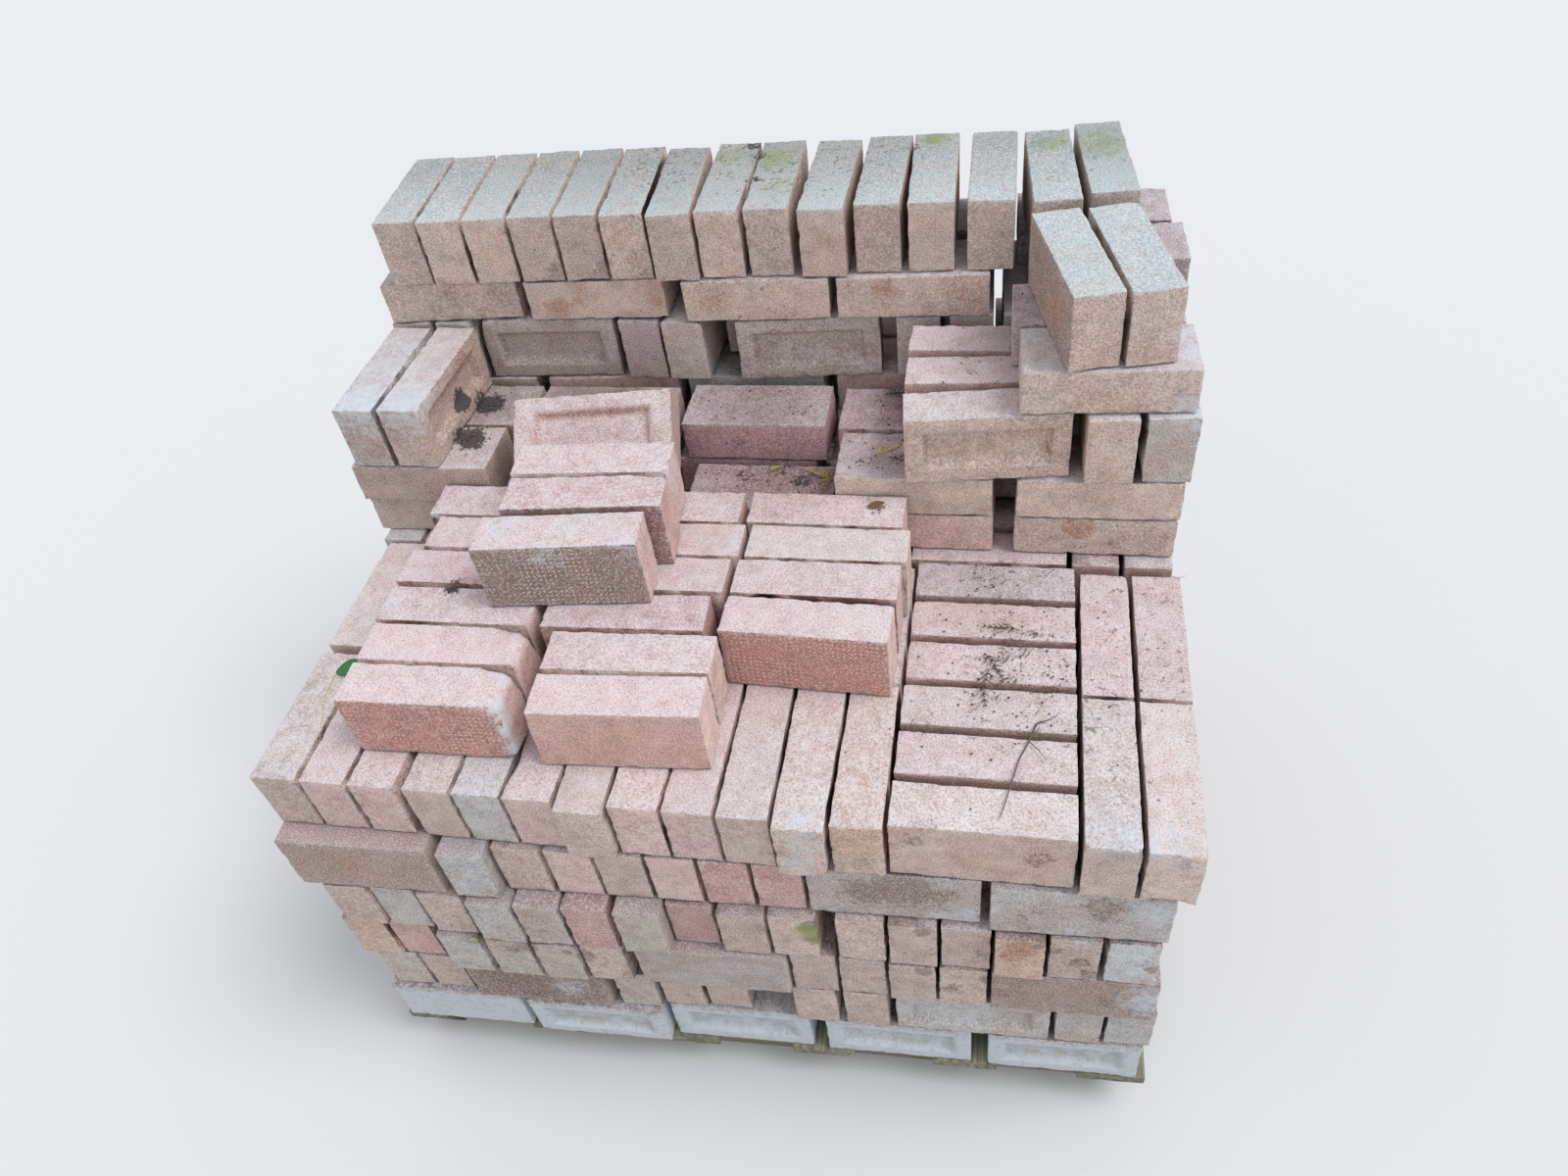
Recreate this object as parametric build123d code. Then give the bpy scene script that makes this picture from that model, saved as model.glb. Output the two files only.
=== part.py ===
from build123d import *
import os

# One brick, in millimetres
LENGTH = 215.0
WIDTH = 102.5
HEIGHT = 65.0

# Frog, the tapered hollow pressed into one bed face
FROG_LENGTH = 168.0
FROG_WIDTH = 58.0
FROG_DEPTH = 11.0
FROG_SLOPE = 8.0

# Joints of the dry stack
JOINT = 2.0
DEEP_PITCH = 74.0

# Pallet
PALLET_LENGTH = 1165.0
PALLET_DEPTH = 960.0
BOARD_THICKNESS = 22.0
BOARD_WIDTH = 100.0
BOARD_COUNT = 6
BEARER_HEIGHT = 78.0
BEARER_DEPTH = 95.0
BEARER_SETBACK = 40.0

# Levels above the floor
DECK_TOP = BEARER_HEIGHT + BOARD_THICKNESS
SHELF = DECK_TOP + 6 * WIDTH
WALL_1 = SHELF
WALL_2 = WALL_1 + HEIGHT
WALL_3 = WALL_2 + HEIGHT
WALL_4 = WALL_3 + WIDTH
WALL_5 = WALL_4 + HEIGHT
LOOSE_1 = SHELF
LOOSE_2 = SHELF + WIDTH

# Longer brick that leans back behind the loose ones, its lower back edge on a brick below
LEAN_LENGTH = 228.0
LEAN_ANGLE = 50.0
LEAN_TURN = 5.8
LEAN_X = -323.5
LEAN_FOOT_Y = 17.5
LEAN_FOOT_Z = SHELF + WIDTH + 0.5

# Plan size of every way a brick is laid
# H header on edge, with a plain bed face to the left and right
# R and W the same with its frog to the right and to the left
# S stretcher on edge, F and B the same with its frog to the front and to the back
# L stretcher laid flat
ROW_LENGTH = {"H": HEIGHT, "R": HEIGHT, "W": HEIGHT, "S": LENGTH, "F": LENGTH, "B": LENGTH, "L": LENGTH}


def plain_brick(length=LENGTH):
    return Box(length, WIDTH, HEIGHT)


def frogged_brick(length=LENGTH):
    mouth = Plane.XY.offset(HEIGHT / 2) * Rectangle(FROG_LENGTH, FROG_WIDTH)
    bottom_plane = Plane.XY.offset(HEIGHT / 2 - FROG_DEPTH)
    bottom = bottom_plane * Rectangle(FROG_LENGTH - 2 * FROG_SLOPE, FROG_WIDTH - 2 * FROG_SLOPE)
    return plain_brick(length) - loft([bottom, mouth])


PLAIN = plain_brick()
FROGGED = frogged_brick()

# Each way of laying, standing on Z zero with its front left corner at the origin
HEADER = Pos(HEIGHT / 2, LENGTH / 2, WIDTH / 2)
STRETCHER = Pos(LENGTH / 2, HEIGHT / 2, WIDTH / 2)
FLAT = Pos(LENGTH / 2, WIDTH / 2, HEIGHT / 2)
LAID = {
    "H": HEADER * Rot(0, 90, 0) * Rot(0, 0, 90) * PLAIN,
    "R": HEADER * Rot(0, 90, 0) * Rot(0, 0, 90) * FROGGED,
    "W": HEADER * Rot(0, -90, 0) * Rot(0, 0, 90) * FROGGED,
    "S": STRETCHER * Rot(90, 0, 0) * PLAIN,
    "F": STRETCHER * Rot(90, 0, 0) * FROGGED,
    "B": STRETCHER * Rot(-90, 0, 0) * FROGGED,
    "L": FLAT * PLAIN,
}


# A row is written as words from left to right
# letters are bricks one behind another, a number after them pushes them back
# a lone number is a wider joint
def row(words, x, y, z, turn=0.0):
    place = Pos(x, y, z) * Rot(0, 0, turn)
    bricks = []
    run = 0.0
    for word in words.split():
        if word.isdigit():
            run += int(word)
            continue
        letters = word.rstrip("+-0123456789")
        push = float(word[len(letters):] or 0)
        for depth, letter in enumerate(letters):
            spot = Pos(run, push + depth * DEEP_PITCH, 0)
            bricks.append(place * spot * LAID[letter])
        run += ROW_LENGTH[letters[0]] + JOINT
    return bricks


def save(name, solids):
    export_step(Compound(label=name, children=list(solids)), f"parts/{name}.step")


# Pallet boards and bearers
def deck_boards():
    board = Box(BOARD_WIDTH, PALLET_DEPTH, BOARD_THICKNESS)
    pitch = (PALLET_LENGTH - BOARD_WIDTH) / (BOARD_COUNT - 1)
    first = (BOARD_WIDTH - PALLET_LENGTH) / 2
    level = DECK_TOP - BOARD_THICKNESS / 2
    return [Pos(first + index * pitch, 0, level) * board for index in range(BOARD_COUNT)]


def bearers():
    reach = PALLET_DEPTH / 2 - BEARER_SETBACK - BEARER_DEPTH / 2
    bar = Box(PALLET_LENGTH, BEARER_DEPTH, BEARER_HEIGHT)
    return [Pos(0, y, BEARER_HEIGHT / 2) * bar for y in (-reach, 0, reach)]


# Five lower courses on edge, the front rows as they stand and plainer rows behind them
FRONT_ROWS = [
    ("SSS-5 11 FSS-11 6 FSS+3 20 FSS 20 FSS-2", -573, -477),
    ("H+3 1 H+2 7 SSS-8 10 H-2 H+5 H+8 66 H-2 6 H-2 6 FSS-1 3 H-1 1 R+2", -560, -478),
    ("W+9 H+13 18 H-6 6 H-7 3 H-8 H-3 11 SSS-2 H+7 H+7 H+2 H+3 1 SSS+2", -574, -488),
    ("H+3 2 H+5 3 H 6 H-9 H-7 H-6 5 H-9 H+12 3 H+2 H+4 21 H+6 H+3 H+6 H-4 H+1 3 R+1", -557, -488),
    ("SSS-13 12 H-16 3 H 3 H H 1 H 1 H H 1 SSS-2 7 SSS-11", -584, -471),
]
HEADER_ROWS = [
    "H H H H 1 H H 2 H H H H H 1 H H H H 1 H R",
    "W H H 2 H H H H H 1 H H H 1 H H H 2 H H H",
]
DEEP_ROW = "SSS 12 SSS 14 SSS 12 SSS 13 SSS"
BACK_ROW = "B 12 S 14 B 12 B 13 S"
MIDDLE_ROW = "S 12 S 14 S 12 S 13 S"


def hidden_rows(number, z):
    ends, other_ends = HEADER_ROWS[number % 2], HEADER_ROWS[1 - number % 2]
    if number % 2:
        bricks = row(ends, -570, -254, z)
        bricks += row(other_ends, -568, -36, z)
        bricks += row(MIDDLE_ROW, -571, 182, z)
        bricks += row(ends, -566, 249, z)
    else:
        bricks = row(DEEP_ROW, -570, -252, z)
        bricks += row(other_ends, -572, -36, z)
        bricks += row(ends, -567, 181, z)
        bricks += row(BACK_ROW, -569, 399, z)
    return bricks


def course(number):
    words, x, y = FRONT_ROWS[number - 1]
    z = DECK_TOP + (number - 1) * WIDTH
    return row(words, x, y, z) + hidden_rows(number, z)


# Sixth course, whose top is the shelf in front of the wall
def shelf_course():
    z = SHELF - WIDTH
    turn = -1.8
    bricks = row("W 1 H 1 H 7 H H H H-12 H H H H-10 H SSSSSS+7 1 H 1 R", -585, -452, z, turn)
    bricks += row("H+10 1 H 1 H 7 H H H H H H H H H 218 H 1 H", -578, -235, z, turn)
    bricks += row("H 2 H H 2 H H H 3 H H H 2 H H H 2 SSS 3 H 2 H", -584, -6, z, turn)
    bricks += row(HEADER_ROWS[0], -572, 237, z, -0.9)
    return bricks


# Wall at the back, five levels, with a pit left open at its front
# One brick on edge stands in the bottom row, under the leaning brick
def wall_flat_1():
    z = WALL_1
    bricks = row("L 43 S 21 L 8 L 24 L", -593, 17, z, -1.9)
    bricks += row("L 14 L 14 L 14 L 14 L", -588, 124, z, -1.5)
    bricks += row("L 12 L 14 L 12 L 14 L", -585, 233, z, -0.5)
    bricks += row("L 14 L 10 L 14 L 12 L", -580, 341, z)
    return bricks


def wall_flat_2():
    z = WALL_2
    bricks = row("L", -593, 10, z, -1.2)
    bricks += row("L 27 L", 128, -10, z, -1.5)
    bricks += row("L 5 L 18 L+8 15 L+3 20 L+4", -567, 118, z, -1.9)
    bricks += row("L 14 L 10 L 14 L 12 L", -583, 232, z)
    bricks += row("L 12 L 14 L 12 L 14 L", -578, 340, z)
    return bricks


def wall_edge_1():
    z = WALL_3
    bricks = row("H", -582, 10, z, -2.8)
    bricks += row("R", -513, 9, z, -3.7)
    bricks += row("H 2 H 4 FSS+3", -578, 232, z)
    bricks += row("H H-4", -214, 227, z, -2.0)
    bricks += row("F", -35, 218, z, 2.7)
    bricks += row("SS", -66, 293, z, 2.7)
    bricks += row("H 8 H 8 H 8 H 8 H", 201, 222, z)
    bricks += row("F", 226, -24, z, 4.2)
    bricks += row("S", 223, 60, z, 0.2)
    bricks += row("S", 223, 139, z, -2.3)
    bricks += row("H", 455, -24, z)
    bricks += row("R", 527, -21, z, 1.4)
    return bricks


def wall_flat_3():
    z = WALL_4
    bricks = row("L", -575, 232, z, 2.4)
    bricks += row("L 26 L-14 6 L-15", -347, 231, z, 0.3)
    bricks += row("L 12 L 12 L 47 L", -573, 347, z)
    bricks += row("L", 371, -14, z, 0.7)
    bricks += row("L", 361, 94, z)
    bricks += row("L", 384, 250, z)
    bricks += row("L", 370, 356, z)
    return bricks


# Top row, each header set down by hand at its own small angle
TOP_ROW = [
    (-546, 227, 2.9),
    (-478, 225, 3.2),
    (-410, 227, 3.2),
    (-342, 229, 3.0),
    (-274, 229, 2.8),
    (-206, 226, 2.6),
    (-138, 220, 2.0),
    (-71, 228, -0.5),
    (-2, 228, 0.0),
    (73, 223, -2.4),
    (148, 231, -2.0),
    (221, 229, -0.2),
    (300, 229, -1.0),
    (385, 221, 2.6),
    (458, 238, 3.5),
    (425, -18, 11.9),
    (492, -9, 10.8),
]


def wall_edge_2():
    bricks = []
    for x, y, turn in TOP_ROW:
        bricks += row("H", x, y, WALL_5, turn)
    return bricks


# Loose bricks put down on the shelf, corner and turn of each from front to back
LOOSE_LEFT = [
    (-448, -404, -0.6),
    (-447, -336, -0.9),
    (-450, -268, -1.2),
    (-449, -197, -1.8),
    (-434, -128, -1.5),
    (-451, -60, -1.6),
]
LOOSE_MIDDLE = [
    (-200, -412, 1.1),
    (-201, -342, 0.2),
    (-222, -273, 0.0),
    (-209, -202, -1.0),
    (-200, -135, -1.0),
    (-211, -68, -1.0),
]
LOOSE_RIGHT = [
    (8, -271, -3.5),
    (13, -205, -1.9),
    (21, -138.6, -1.9),
    (12, -71, -2.3),
]


def loose_lower():
    bricks = []
    for x, y, turn in LOOSE_LEFT + LOOSE_MIDDLE + LOOSE_RIGHT:
        bricks += row("S", x, y, LOOSE_1, turn)
    return bricks


def loose_upper():
    z = LOOSE_2
    bricks = row("S", -295, -243, z, 3.7)
    bricks += row("S", -281, -167, z, 2.8)
    bricks += row("S", -288, -96, z, 1.6)
    return bricks


def leaning_brick():
    foot = Pos(LEAN_X, LEAN_FOOT_Y, LEAN_FOOT_Z) * Rot(0, 0, LEAN_TURN)
    lean = Rot(-LEAN_ANGLE, 0, 0) * Pos(0, -HEIGHT, 0)
    upright = Pos(LEAN_LENGTH / 2, HEIGHT / 2, WIDTH / 2) * Rot(90, 0, 0)
    return [foot * lean * upright * frogged_brick(LEAN_LENGTH)]


os.makedirs("parts", exist_ok=True)
save("pallet_boards", deck_boards())
save("pallet_bearers", bearers())
for number in range(1, 6):
    save(f"course_{number}", course(number))
save("course_6", shelf_course())
save("wall_flat_1", wall_flat_1())
save("wall_flat_2", wall_flat_2())
save("wall_edge_1", wall_edge_1())
save("wall_flat_3", wall_flat_3())
save("wall_edge_2", wall_edge_2())
save("loose_lower", loose_lower())
save("loose_upper", loose_upper())
save("leaning_brick", leaning_brick())
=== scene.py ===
from math import cos, pi, radians, sin, sqrt

import bpy
import numpy as np
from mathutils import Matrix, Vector
from mathutils.bvhtree import BVHTree


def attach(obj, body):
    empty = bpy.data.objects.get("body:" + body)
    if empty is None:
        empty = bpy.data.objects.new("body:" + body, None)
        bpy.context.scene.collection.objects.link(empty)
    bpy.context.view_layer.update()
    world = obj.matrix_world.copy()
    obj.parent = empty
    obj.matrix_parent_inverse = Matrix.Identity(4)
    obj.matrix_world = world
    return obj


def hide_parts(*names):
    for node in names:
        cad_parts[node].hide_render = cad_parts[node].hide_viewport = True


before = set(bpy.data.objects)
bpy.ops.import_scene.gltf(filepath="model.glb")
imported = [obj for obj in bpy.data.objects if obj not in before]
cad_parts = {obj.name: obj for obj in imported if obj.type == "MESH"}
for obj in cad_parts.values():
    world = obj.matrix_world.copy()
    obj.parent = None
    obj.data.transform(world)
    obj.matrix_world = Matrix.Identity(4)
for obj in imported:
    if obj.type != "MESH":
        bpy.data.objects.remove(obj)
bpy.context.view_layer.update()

# Width and height of one brick and its frog in metres, as the CAD model has them
WIDTH, HEIGHT = 0.1025, 0.065
FROG_HALF = np.array([0.084, 0.029])
FROG_SLOPE = 0.008
FROG_DEPTH = 0.011

# Top of the shelf and of the lowest course, underside of the top row, and how far back the front goes
SHELF = 0.715
LOWEST_COURSE = 0.2025
TOP_ROW = 1.0125
FRONT_Y = -0.3

# Camera of the photograph
CAMERA_PLACE = (0.3284, -1.18, 1.8131)
CAMERA_TURN = (45.21, 6.17, 7.85)
CAMERA_LENS = 25.83

# Spacing of the mesh on bricks that face the camera, on other bricks that show, and on hidden ones
FINE_STEP = 0.0053
PLAIN_STEP = 0.013
HIDDEN_STEP = 0.08

BRICK_NODES = [
    "course_1", "course_2", "course_3", "course_4", "course_5", "course_6",
    "wall_flat_1", "wall_flat_2", "wall_edge_1", "wall_flat_3", "wall_edge_2",
    "loose_lower", "loose_upper", "leaning_brick",
]


def srgb(*levels):
    """A colour given as 0 to 255, in the linear values that Blender uses."""
    return tuple(((v / 255 + 0.055) / 1.055) ** 2.4 if v > 10 else v / 255 / 12.92 for v in levels)


# Two colours that mix in patches over a brick, capitals for the sanded sides, small letters for bed faces
PALETTE = {
    "P": ((220, 184, 180), (216, 190, 180)), "R": ((206, 160, 156), (212, 176, 168)),
    "B": ((212, 194, 182), (212, 184, 172)), "G": ((190, 190, 188), (194, 188, 180)),
    "O": ((214, 180, 160), (210, 186, 170)), "N": ((186, 164, 154), (194, 174, 162)),
    "W": ((206, 212, 216), (206, 202, 198)), "T": ((208, 186, 174), (196, 176, 166)),
    "K": ((196, 188, 180), (194, 178, 170)), "M": ((190, 170, 172), (188, 170, 166)),
    "X": ((204, 158, 166), (192, 154, 160)), "d": ((210, 178, 172), (202, 168, 162)),
    "r": ((190, 138, 128), (184, 128, 116)), "o": ((210, 158, 142), (204, 148, 128)),
    "e": ((206, 168, 160), (200, 158, 146)), "t": ((204, 182, 170), (196, 170, 158)),
    "n": ((170, 148, 138), (160, 138, 128)), "m": ((186, 162, 164), (176, 150, 148)),
    "g": ((188, 186, 184), (180, 172, 168)), "k": ((182, 172, 168), (174, 160, 154)),
    "x": ((158, 116, 118), (164, 128, 126)), "y": ((146, 126, 116), (136, 118, 110)),
}

# Bed letter that goes with each side letter, where a word gives none
BED_OF = dict(zip("PRBGONWTKM", "drtgongtkm"))

# Sides of the bricks that no row names, in the lowest course and elsewhere
COMMON_LOWEST = "WWWK"
COMMON = "PPPPBBBTTRKGON"
PRICKED_SHARE = 0.15
SHADES = (0.95, 1.05)
SHADE_STEP = 1.12

# Looks of the bricks in a row, from left to right: side letter, bed letter, * for pale pin pricks,
# + for a lighter brick and - for a darker one
# FRONT_LOOKS names the bricks of a course whose front shows, ROW_LOOKS those between two depths
FRONT_LOOKS = [
    ("course_1", "W W W W W"),
    ("course_2", "K T Ny K T T T T Wg+ K G"),
    ("course_3", "O R G K K T Kk+ T T T B Mn"),
    ("course_4", "T G T G K R- K R- T B T+ T T O T W"),
    ("course_5", "Nn+ W- T P+ T P+ R R Kk+ Mg+"),
]
ROW_LOOKS = {
    "course_6": [
        (-0.46, -0.4, "Bt+"), (-0.4, -0.33, "T P P T G+ P T+ P+ P B B+ O P T+ B+"), (-0.31, -0.2, "B P"),
        (-0.17, -0.1, "B P P P P P P P P P P P P P P"), (-0.08, 0.01, "P M"),
    ],
    "wall_flat_1": [(0.02, 0.07, "T R Xx Pm Tt+"), (0.14, 0.18, "Tn Nn Xx Xx Mx")],
    "wall_flat_2": [(0.02, 0.07, "Nt Tm+ Tt++"), (0.13, 0.18, "Nn Nn Xm Xx Mm")],
    "wall_edge_1": [
        (0.0, 0.02, "Bt"), (0.08, 0.12, "K- Tt P B K"), (0.16, 0.17, "P"), (0.25, 0.27, "Tk+ Tk+"),
        (0.32, 0.35, "K K K M K+ K+ K K K K K"),
    ],
    "wall_flat_3": [(0.03, 0.15, "Mx Bt"), (0.26, 0.31, "Tt T+ T+ T+ M-"), (0.39, 0.41, "T N T K M-")],
    "wall_edge_2": [(0.09, 0.11, "Bn Bt"), (0.32, 0.35, "T T+ B T T B T T+ T B T B T K K")],
    "loose_lower": [
        (-0.38, -0.37, "Pr*+ Pe+"), (-0.31, -0.3, "P+ Pd+"), (-0.25, -0.23, "P R Pr*+"),
        (-0.18, -0.16, "R P Pr"), (-0.12, -0.09, "P P B+"), (-0.05, -0.03, "P P P"),
    ],
    "loose_upper": [(-0.21, -0.2, "Py*+"), (-0.13, -0.12, "Rx"), (-0.07, -0.06, "P")],
    "leaning_brick": [(0.04, 0.05, "RP")],
}

# Marks that spread over neighbours: place, radius and strength
MOSS = [
    (-0.046, 0.4, 1.115, 0.04, 0.6), (0.022, 0.387, 1.115, 0.045, 0.8), (0.051, 0.29, 1.115, 0.04, 0.6),
    (0.102, 0.411, 1.115, 0.03, 0.4), (0.184, 0.41, 1.115, 0.035, 0.4), (0.252, 0.425, 1.115, 0.026, 1.1),
    (0.416, 0.395, 1.115, 0.04, 0.7), (0.481, 0.38, 1.115, 0.05, 0.8), (0.413, 0.29, 1.115, 0.03, 0.4),
    (-0.327, 0.41, 1.115, 0.03, 0.4), (-0.17, 0.39, 1.115, 0.035, 0.4),
    (0.118, -0.484, 0.482, 0.018, 1.4), (0.124, -0.484, 0.458, 0.016, 1.3),
    (-0.365, -0.494, 0.4, 0.022, 0.8),
]
SOIL = [
    (-0.451, 0.132, 0.876, 0.022, 1.3), (-0.454, 0.118, 0.866, 0.016, 1.2),
    (-0.424, 0.164, 0.845, 0.03, 1.2), (-0.426, 0.08, 0.845, 0.03, 1.2),
    (-0.412, 0.062, 0.845, 0.018, 0.9), (-0.5, 0.13, 0.948, 0.014, 0.6), (-0.449, -0.06, 0.8, 0.016, 0.8),
    (-0.014, 0.43, 1.115, 0.022, 0.9), (0.0, 0.395, 1.115, 0.018, 0.8), (0.007, 0.32, 1.115, 0.02, 0.7),
    (-0.103, 0.352, 1.115, 0.012, 0.6), (-0.264, 0.399, 1.115, 0.016, 0.6),
    (-0.229, 0.354, 1.115, 0.014, 0.6), (0.219, 0.4, 1.115, 0.02, 0.7), (0.166, 0.026, 0.845, 0.02, 0.6),
    (0.215, 0.03, 0.845, 0.024, 0.7), (-0.015, 0.072, 0.78, 0.026, 0.7), (0.073, 0.062, 0.78, 0.026, 0.8),
    (0.04, 0.08, 0.78, 0.02, 0.7), (0.1, 0.28, 0.845, 0.02, 0.7), (-0.362, -0.207, 0.817, 0.013, 1.2),
    (0.355, -0.24, 0.715, 0.016, 0.5), (0.404, -0.19, 0.715, 0.018, 0.5),
]
SALT = [
    (0.324, -0.473, 0.528, 0.03, 0.8), (0.288, -0.473, 0.516, 0.024, 0.7),
    (0.539, -0.482, 0.575, 0.035, 0.8), (0.454, -0.482, 0.515, 0.03, 0.6),
    (-0.257, -0.19, 0.92, 0.05, 0.6), (-0.17, -0.185, 0.92, 0.05, 0.5),
    (0.534, -0.475, 0.715, 0.045, 0.7), (0.483, -0.465, 0.715, 0.04, 0.7),
    (0.441, -0.46, 0.715, 0.035, 0.6), (0.132, -0.475, 0.715, 0.028, 0.7),
    (0.132, -0.475, 0.68, 0.034, 0.7), (0.132, -0.475, 0.64, 0.034, 0.7),
    (-0.272, -0.455, 0.7, 0.035, 0.5), (-0.23, -0.4, 0.805, 0.02, 1.3), (-0.23, -0.4, 0.77, 0.019, 1.3),
    (-0.23, -0.4, 0.735, 0.018, 1.3), (-0.24, -0.35, 0.82, 0.024, 0.9), (-0.44, -0.24, 0.817, 0.03, 0.6),
    (-0.441, -0.048, 0.8, 0.03, 0.8), (0.012, -0.11, 0.817, 0.04, 0.5), (-0.068, -0.061, 0.9, 0.04, 0.7),
    (-0.544, 0.03, 0.955, 0.06, 1.0), (-0.474, 0.03, 0.955, 0.06, 0.9), (-0.53, 0.11, 0.948, 0.09, 0.6),
    (-0.47, 0.11, 0.948, 0.07, 0.4), (0.56, -0.485, 0.36, 0.05, 1.0), (0.583, 0.05, 1.013, 0.06, 0.9),
    (0.58, 0.0, 0.948, 0.04, 0.8), (-0.26, -0.48, 0.262, 0.04, 0.7), (0.3, -0.49, 0.262, 0.09, 0.5),
    (0.48, -0.49, 0.262, 0.09, 0.4), (-0.09, -0.23, 0.92, 0.04, 0.6), (-0.2, -0.245, 0.905, 0.03, 0.7),
    (0.06, -0.4, 0.203, 0.06, 0.9),
]

# Marks in the clay that stay on one brick
RUST = [
    (-0.448, 0.15, 0.93, 0.03, 1.0), (-0.263, 0.231, 0.992, 0.03, 0.7), (-0.297, 0.231, 0.966, 0.03, 0.8),
    (-0.145, 0.231, 0.979, 0.03, 0.7), (-0.06, 0.219, 0.975, 0.035, 0.6),
    (0.184, 0.219, 0.987, 0.035, 0.7), (0.306, 0.219, 0.983, 0.03, 0.6),
    (0.457, -0.018, 0.766, 0.022, 1.7), (0.1, -0.277, 0.72, 0.05, 0.5), (0.19, -0.282, 0.72, 0.04, 0.5),
    (0.388, -0.492, 0.488, 0.02, 1.7), (0.376, -0.492, 0.466, 0.014, 1.7),
    (-0.115, 0.03, 0.925, 0.04, 0.8), (-0.2, 0.04, 0.93, 0.03, 0.5), (0.413, 0.041, 1.06, 0.05, 0.8),
    (0.397, 0.113, 1.04, 0.04, 0.6), (0.122, -0.208, 0.817, 0.05, 0.4), (-0.11, -0.161, 0.89, 0.06, 0.5),
    (0.186, -0.49, 0.64, 0.04, 0.5), (0.127, -0.484, 0.455, 0.014, 0.8), (-0.5, -0.48, 0.56, 0.05, 0.5),
]
STAIN = [
    (-0.288, 0.232, 1.03, 0.02, 0.8), (-0.216, 0.231, 1.03, 0.022, 0.8), (-0.15, 0.228, 1.022, 0.02, 0.7),
    (-0.47, 0.231, 1.0, 0.03, 0.6), (-0.42, 0.231, 0.96, 0.026, 0.7), (-0.05, 0.219, 1.0, 0.026, 0.5),
    (0.256, -0.471, 0.69, 0.022, 0.7), (0.4, -0.476, 0.672, 0.026, 0.7),
    (0.483, -0.478, 0.705, 0.022, 0.7), (0.555, -0.48, 0.7, 0.016, 0.8),
    (0.243, -0.473, 0.582, 0.05, 1.1), (0.2, -0.473, 0.57, 0.04, 1.0), (0.29, -0.473, 0.57, 0.03, 0.8),
    (0.48, -0.482, 0.58, 0.036, 0.9), (0.4, -0.482, 0.56, 0.03, 0.5), (0.052, -0.478, 0.48, 0.014, 0.7),
    (0.125, -0.484, 0.492, 0.016, 1.3), (-0.285, -0.495, 0.398, 0.016, 1.6),
    (-0.31, -0.495, 0.384, 0.012, 1.3), (-0.205, -0.495, 0.372, 0.018, 1.3),
    (-0.228, -0.495, 0.39, 0.007, 2.2), (0.265, -0.486, 0.397, 0.014, 1.5),
    (0.35, -0.486, 0.385, 0.014, 1.4), (0.462, -0.487, 0.455, 0.014, 1.4),
    (0.474, -0.487, 0.425, 0.014, 1.4), (0.265, -0.485, 0.5, 0.012, 1.4), (0.41, -0.492, 0.5, 0.012, 1.2),
    (0.55, -0.487, 0.45, 0.012, 1.3), (0.338, -0.485, 0.45, 0.02, 0.7), (0.428, -0.487, 0.48, 0.018, 0.8),
    (0.3, -0.485, 0.35, 0.02, 0.8), (0.36, -0.485, 0.35, 0.02, 0.8), (0.5, -0.48, 0.35, 0.022, 0.8),
    (0.54, -0.487, 0.463, 0.016, 0.7), (-0.38, -0.48, 0.35, 0.022, 0.6), (-0.18, -0.48, 0.36, 0.022, 0.6),
    (-0.33, -0.48, 0.25, 0.06, 0.9), (-0.41, -0.38, 0.78, 0.014, 0.5),
]

# Patches that darken upward faces and keep dust off them, painted shade in the pit and dirt elsewhere, and
# dark spots like lichen
PIT_SHADE_AND_DIRT = [
    (0.01, 0.16, 0.85, 0.11, 1.0), (0.06, 0.06, 0.78, 0.11, 1.0), (0.23, 0.16, 0.845, 0.06, 1.0),
    (0.2, 0.04, 0.845, 0.05, 0.8), (-0.24, 0.17, 0.845, 0.12, 0.9), (-0.44, 0.16, 0.845, 0.07, 0.7),
    (0.0, 0.3, 0.845, 0.2, 0.9), (0.4, 0.17, 0.845, 0.12, 0.8), (0.33, 0.14, 0.948, 0.07, 0.4),
    (-0.1, 0.4, 1.115, 0.3, 0.4), (0.34, -0.11, 0.715, 0.07, 0.4),
]
SPOTS = [
    (0.42, -0.25, 0.715, 0.2, 0.9), (0.52, -0.15, 0.715, 0.2, 0.8), (0.54, -0.4, 0.715, 0.15, 0.7),
    (0.08, 0.38, 1.115, 0.2, 1.0), (-0.12, 0.39, 1.115, 0.15, 1.0), (-0.3, 0.4, 1.115, 0.1, 0.6),
    (0.45, 0.33, 1.115, 0.15, 0.6), (0.0, 0.2, 0.845, 0.25, 0.7), (0.33, 0.13, 0.948, 0.12, 0.7),
    (0.36, -0.485, 0.44, 0.2, 0.7), (-0.3, -0.48, 0.4, 0.2, 0.6), (-0.05, -0.48, 0.62, 0.2, 0.4),
    (-0.3, 0.22, 1.0, 0.2, 0.5), (0.1, 0.22, 1.0, 0.2, 0.5),
]

# Corners knocked round: place, reach and what is added to the radius there
BLUNT = [
    (-0.232, -0.405, 0.817, 0.05, 0.014), (-0.232, -0.34, 0.817, 0.045, 0.013),
    (-0.232, -0.405, 0.715, 0.04, 0.008), (-0.234, -0.272, 0.817, 0.045, 0.016),
    (-0.1, 0.11, 0.93, 0.06, 0.022), (-0.082, -0.09, 0.92, 0.03, 0.01), (-0.44, 0.23, 0.947, 0.03, 0.01),
    (0.151, -0.47, 0.615, 0.03, 0.008), (-0.01, 0.226, 1.115, 0.02, 0.008),
    (0.583, -0.487, 0.715, 0.03, 0.007), (0.546, -0.48, 0.613, 0.03, 0.012),
]

# A mark is full within 0.4 of its radius and ends at this many radii
MARK_PEAK = 1.4

# How far outside a brick a place may lie and still be held by it
MARK_MARGIN = 0.006

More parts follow.
